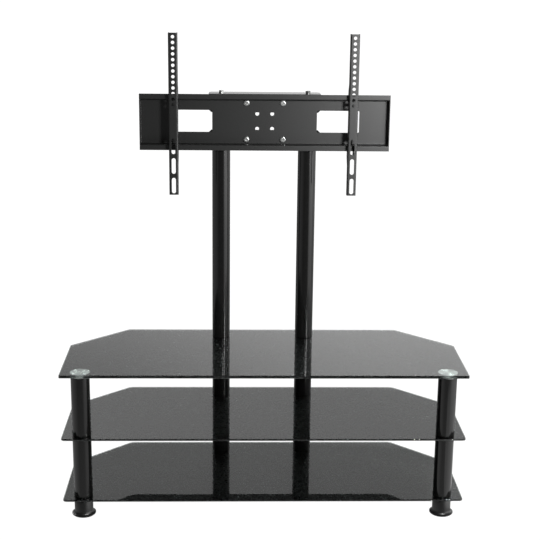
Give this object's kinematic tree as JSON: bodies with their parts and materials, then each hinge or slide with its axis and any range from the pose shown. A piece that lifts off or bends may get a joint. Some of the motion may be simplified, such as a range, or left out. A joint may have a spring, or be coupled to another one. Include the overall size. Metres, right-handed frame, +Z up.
{
  "type": "tv stand with mount",
  "caption": "Television stand with tempered glass shelves on round tube legs, tall rear columns, and a pressed rail whose hooked arms slide sideways to suit the screen.",
  "frame": {"origin": "on the floor, in the middle of the shelves' footprint", "axes": "X to the right seen from the front, Y to the back, Z up"},
  "size_m": [1.08, 0.395, 1.274],
  "materials": {
    "black_glass": "polished tempered glass, printed black below",
    "painted_steel": "satin black powder coat",
    "mount_steel": "fine textured black powder coat",
    "black_plastic": "gloss black",
    "rubber": "matte",
    "zinc_steel": "bright zinc plate",
    "turned_aluminium": "turned face"
  },
  "bodies": {
    "stand": {"bottom_shelf": "black_glass", "middle_shelf": "black_glass", "top_shelf": "black_glass", "left_leg_lower_tube": "painted_steel", "right_leg_lower_tube": "painted_steel", "left_column_lower_tube": "painted_steel", "right_column_lower_tube": "painted_steel", "left_leg_upper_tube": "painted_steel", "right_leg_upper_tube": "painted_steel", "left_column_upper_tube": "painted_steel", "right_column_upper_tube": "painted_steel", "left_column_tall_tube": "painted_steel", "right_column_tall_tube": "painted_steel", "left_leg_middle_stud": "zinc_steel", "right_leg_middle_stud": "zinc_steel", "left_column_middle_stud": "zinc_steel", "right_column_middle_stud": "zinc_steel", "left_column_top_stud": "zinc_steel", "right_column_top_stud": "zinc_steel", "left_leg_bonded_disc": "turned_aluminium", "right_leg_bonded_disc": "turned_aluminium", "left_leg_foot": "black_plastic", "right_leg_foot": "black_plastic", "left_column_foot": "black_plastic", "right_column_foot": "black_plastic", "left_leg_foot_pad": "rubber", "right_leg_foot_pad": "rubber", "left_column_foot_pad": "rubber", "right_column_foot_pad": "rubber", "left_leg_foot_bolt": "zinc_steel", "right_leg_foot_bolt": "zinc_steel", "left_column_foot_bolt": "zinc_steel", "right_column_foot_bolt": "zinc_steel", "upper_cross_bar": "mount_steel", "lower_cross_bar": "mount_steel", "left_column_bar_screw": "zinc_steel", "right_column_bar_screw": "zinc_steel", "left_column_saddle_nut": "zinc_steel", "right_column_saddle_nut": "zinc_steel", "left_column_top_bolt": "zinc_steel", "right_column_top_bolt": "zinc_steel", "mount_rail": "mount_steel", "rail_bolt_lower_left": "zinc_steel", "rail_bolt_lower_right": "zinc_steel", "rail_bolt_upper_left": "zinc_steel", "rail_bolt_upper_right": "zinc_steel", "rail_washer_lower_left": "zinc_steel", "rail_washer_lower_right": "zinc_steel", "rail_washer_upper_left": "zinc_steel", "rail_washer_upper_right": "zinc_steel", "rail_nut_lower_left": "zinc_steel", "rail_nut_lower_right": "zinc_steel", "rail_nut_upper_left": "zinc_steel", "rail_nut_upper_right": "zinc_steel"},
    "left_arm": {"left_screen_arm": "mount_steel"},
    "left_lock": {"left_lock_screw": "zinc_steel"},
    "right_arm": {"right_screen_arm": "mount_steel"},
    "right_lock": {"right_lock_screw": "zinc_steel"}
  },
  "joints": [
    {"name": "left_arm_slide", "type": "slide", "parent": "stand", "child": "left_arm", "axis": [1, 0, 0], "range_m": [-0.079, 0.197]},
    {"name": "right_arm_slide", "type": "slide", "parent": "stand", "child": "right_arm", "axis": [1, 0, 0], "range_m": [-0.188, 0.088]},
    {"name": "left_lock_slide", "type": "slide", "parent": "left_arm", "child": "left_lock", "axis": [0, 0, 1], "range_m": [-0.009, 0]},
    {"name": "right_lock_slide", "type": "slide", "parent": "right_arm", "child": "right_lock", "axis": [0, 0, 1], "range_m": [-0.009, 0]}
  ]
}
